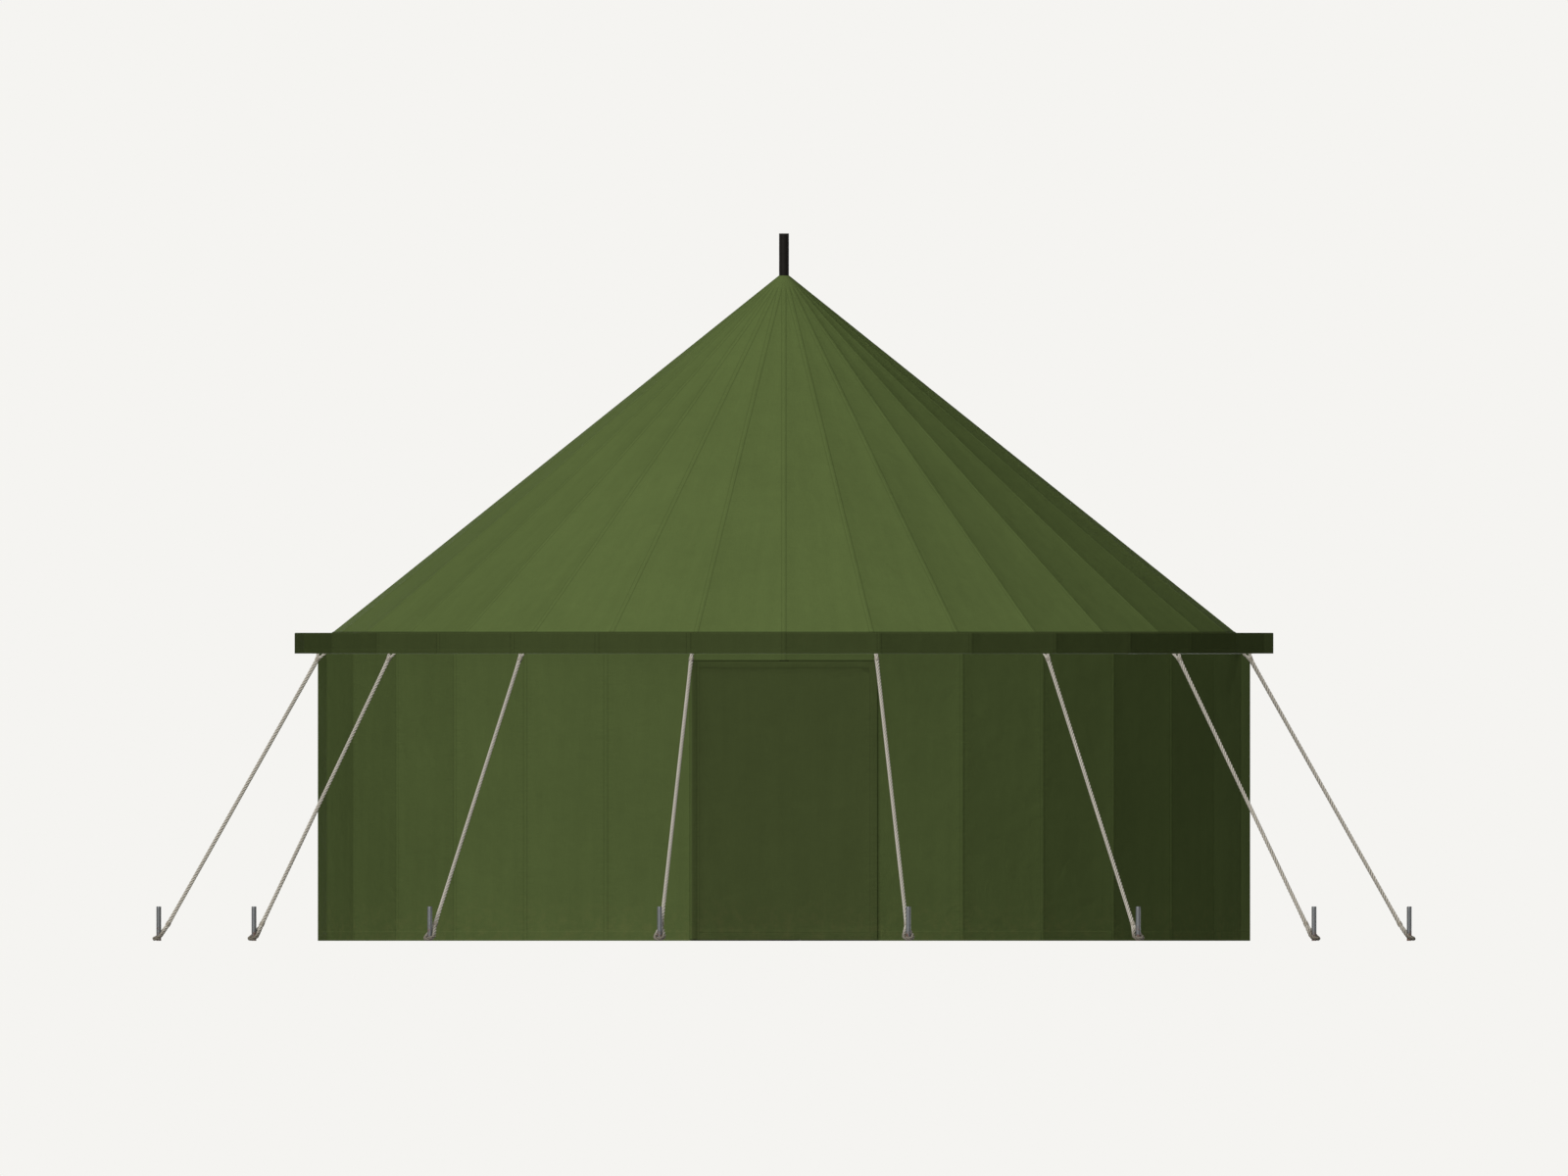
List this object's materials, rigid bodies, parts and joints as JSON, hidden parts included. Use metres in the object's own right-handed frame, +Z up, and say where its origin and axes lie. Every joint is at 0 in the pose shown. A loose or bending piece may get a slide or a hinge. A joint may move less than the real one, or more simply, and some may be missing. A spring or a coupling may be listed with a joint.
{
  "type": "round army tent",
  "caption": "Round canvas tent with a conical roof on one centre pole, an upright wall, a stiff eave band, guy ropes with pegs and a hinged door flap.",
  "frame": {"origin": "on the ground on the axis of the centre pole, under its base plate", "axes": "+Z up along the centre pole; the door faces -Y; +X is to the right of someone who faces the door"},
  "size_m": [6.734, 6.734, 3.795],
  "materials": {
    "roof_canvas": "proofed olive cotton canvas",
    "wall_canvas": "proofed olive cotton canvas",
    "dark_canvas": "dark olive cotton canvas",
    "rope": "three-strand natural rope",
    "peg_steel": "worn grey steel",
    "pole_paint": "satin black paint",
    "hoop_steel": "galvanised"
  },
  "bodies": {
    "root": {"centre_pole": "pole_paint", "peak_cone": "pole_paint", "roof_canopy": "roof_canvas", "eave_band": "dark_canvas", "eave_hoop_left": "hoop_steel", "eave_hoop_right": "hoop_steel", "wall_section_1": "wall_canvas", "wall_section_2": "wall_canvas", "wall_section_3": "wall_canvas", "wall_section_4": "wall_canvas", "wall_section_5": "wall_canvas", "wall_over_door": "wall_canvas", "guy_rope_01": "rope", "guy_rope_02": "rope", "guy_rope_03": "rope", "guy_rope_04": "rope", "guy_rope_05": "rope", "guy_rope_06": "rope", "guy_rope_07": "rope", "guy_rope_08": "rope", "guy_rope_09": "rope", "guy_rope_10": "rope", "guy_rope_11": "rope", "guy_rope_12": "rope", "guy_rope_13": "rope", "guy_rope_14": "rope", "guy_rope_15": "rope", "guy_rope_16": "rope", "peg_01": "peg_steel", "peg_02": "peg_steel", "peg_03": "peg_steel", "peg_04": "peg_steel", "peg_05": "peg_steel", "peg_06": "peg_steel", "peg_07": "peg_steel", "peg_08": "peg_steel", "peg_09": "peg_steel", "peg_10": "peg_steel", "peg_11": "peg_steel", "peg_12": "peg_steel", "peg_13": "peg_steel", "peg_14": "peg_steel", "peg_15": "peg_steel", "peg_16": "peg_steel"},
    "door": {"door_flap": "dark_canvas"}
  },
  "joints": [
    {"name": "door_hinge", "type": "hinge", "parent": "root", "child": "door", "pos_m": [-0.491, -2.46027, 0], "axis": [0, 0, -1], "range_deg": [0, 75]}
  ]
}
